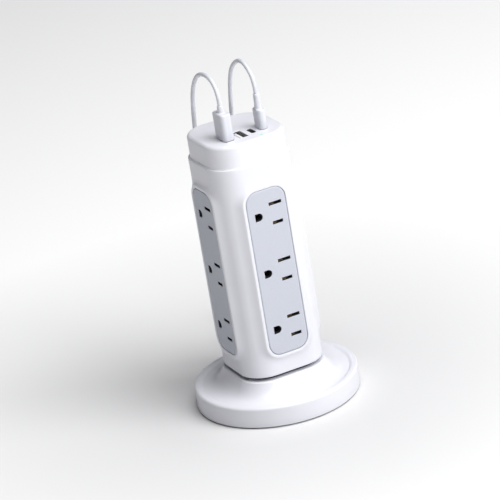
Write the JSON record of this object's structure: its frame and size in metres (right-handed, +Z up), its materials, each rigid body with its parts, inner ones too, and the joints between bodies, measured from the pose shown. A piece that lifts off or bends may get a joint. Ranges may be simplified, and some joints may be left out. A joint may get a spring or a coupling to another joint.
{
  "type": "tower power strip",
  "caption": "Square tower power strip on a round weighted base, with grounded outlets on all four sides, USB ports in its cap and two USB leads plugged in.",
  "frame": {"origin": "middle of the round footprint, on the floor under the rubber feet", "axes": "+Z up along the tower, the front side with its panel faces -Y, +X is to the right of the front"},
  "size_m": [0.1179, 0.1871, 0.2222],
  "materials": {
    "shell": "satin white moulded plastic",
    "panel": "fine-textured light blue-grey plastic",
    "base_plastic": "textured white plastic",
    "insulator": "black moulded plastic",
    "contact_brass": "plain stamped brass",
    "circuit_board": "green solder mask",
    "steel": "nickel-plated steel",
    "port_tongue": "white plastic",
    "port_dark": "black plastic",
    "component_dark": "black",
    "light_pipe": "clear green, lit",
    "foot_rubber": "matte dark rubber",
    "ballast": "bare steel plate",
    "gland": "white flexible plastic",
    "button": "black plastic",
    "varistor": "blue epoxy",
    "wire_white": "white insulation",
    "wire_green": "green insulation",
    "wire_black": "black insulation",
    "lead_grip": "soft white moulded plastic",
    "lead_cord": "soft white cable jacket"
  },
  "bodies": {
    "tower": {"tower_body": "shell", "top_cap": "shell", "base_shell": "shell", "base_plate": "base_plastic", "outlet_panel_front": "panel", "contact_carrier_front": "insulator", "line_bus_front": "contact_brass", "neutral_bus_front": "contact_brass", "ground_bus_front": "contact_brass", "outlet_panel_right": "panel", "contact_carrier_right": "insulator", "line_bus_right": "contact_brass", "neutral_bus_right": "contact_brass", "ground_bus_right": "contact_brass", "outlet_panel_rear": "panel", "contact_carrier_rear": "insulator", "line_bus_rear": "contact_brass", "neutral_bus_rear": "contact_brass", "ground_bus_rear": "contact_brass", "outlet_panel_left": "panel", "contact_carrier_left": "insulator", "line_bus_left": "contact_brass", "neutral_bus_left": "contact_brass", "ground_bus_left": "contact_brass", "core_sleeve": "insulator", "usb_board": "circuit_board", "usb_a_sockets": "steel", "usb_c_sockets": "steel", "usb_a_tongues": "port_tongue", "usb_c_tongues": "port_dark", "usb_transformer": "component_dark", "usb_capacitors": "component_dark", "board_screws": "steel", "status_light": "light_pipe", "rubber_feet": "foot_rubber", "ballast_disc": "ballast", "base_screws": "steel", "tower_screws": "steel", "cord_gland": "gland", "breaker_case": "component_dark", "reset_spring": "steel", "surge_board": "circuit_board", "board_spacers": "insulator", "varistors": "varistor", "filter_capacitor": "component_dark", "thermal_fuse": "steel", "neutral_wire": "wire_white", "ground_wire": "wire_green", "line_wire": "wire_black", "feed_wire": "wire_black", "bus_links": "wire_white", "usb_a_plug": "lead_grip", "usb_a_cord": "lead_cord", "usb_a_coil": "lead_cord", "usb_a_far_plug": "lead_grip", "usb_c_plug": "lead_grip", "usb_c_cord": "lead_cord", "usb_c_coil": "lead_cord", "usb_c_far_plug": "lead_grip"},
    "button": {"reset_button": "button"}
  },
  "joints": [
    {"name": "reset_press", "type": "slide", "parent": "tower", "child": "button", "axis": [-0.9063, -0.4226, 0], "range_m": [0, 0.002], "stiffness_N_per_m": 900, "springref_m": -0.001, "deforming": ["reset_spring"]}
  ]
}
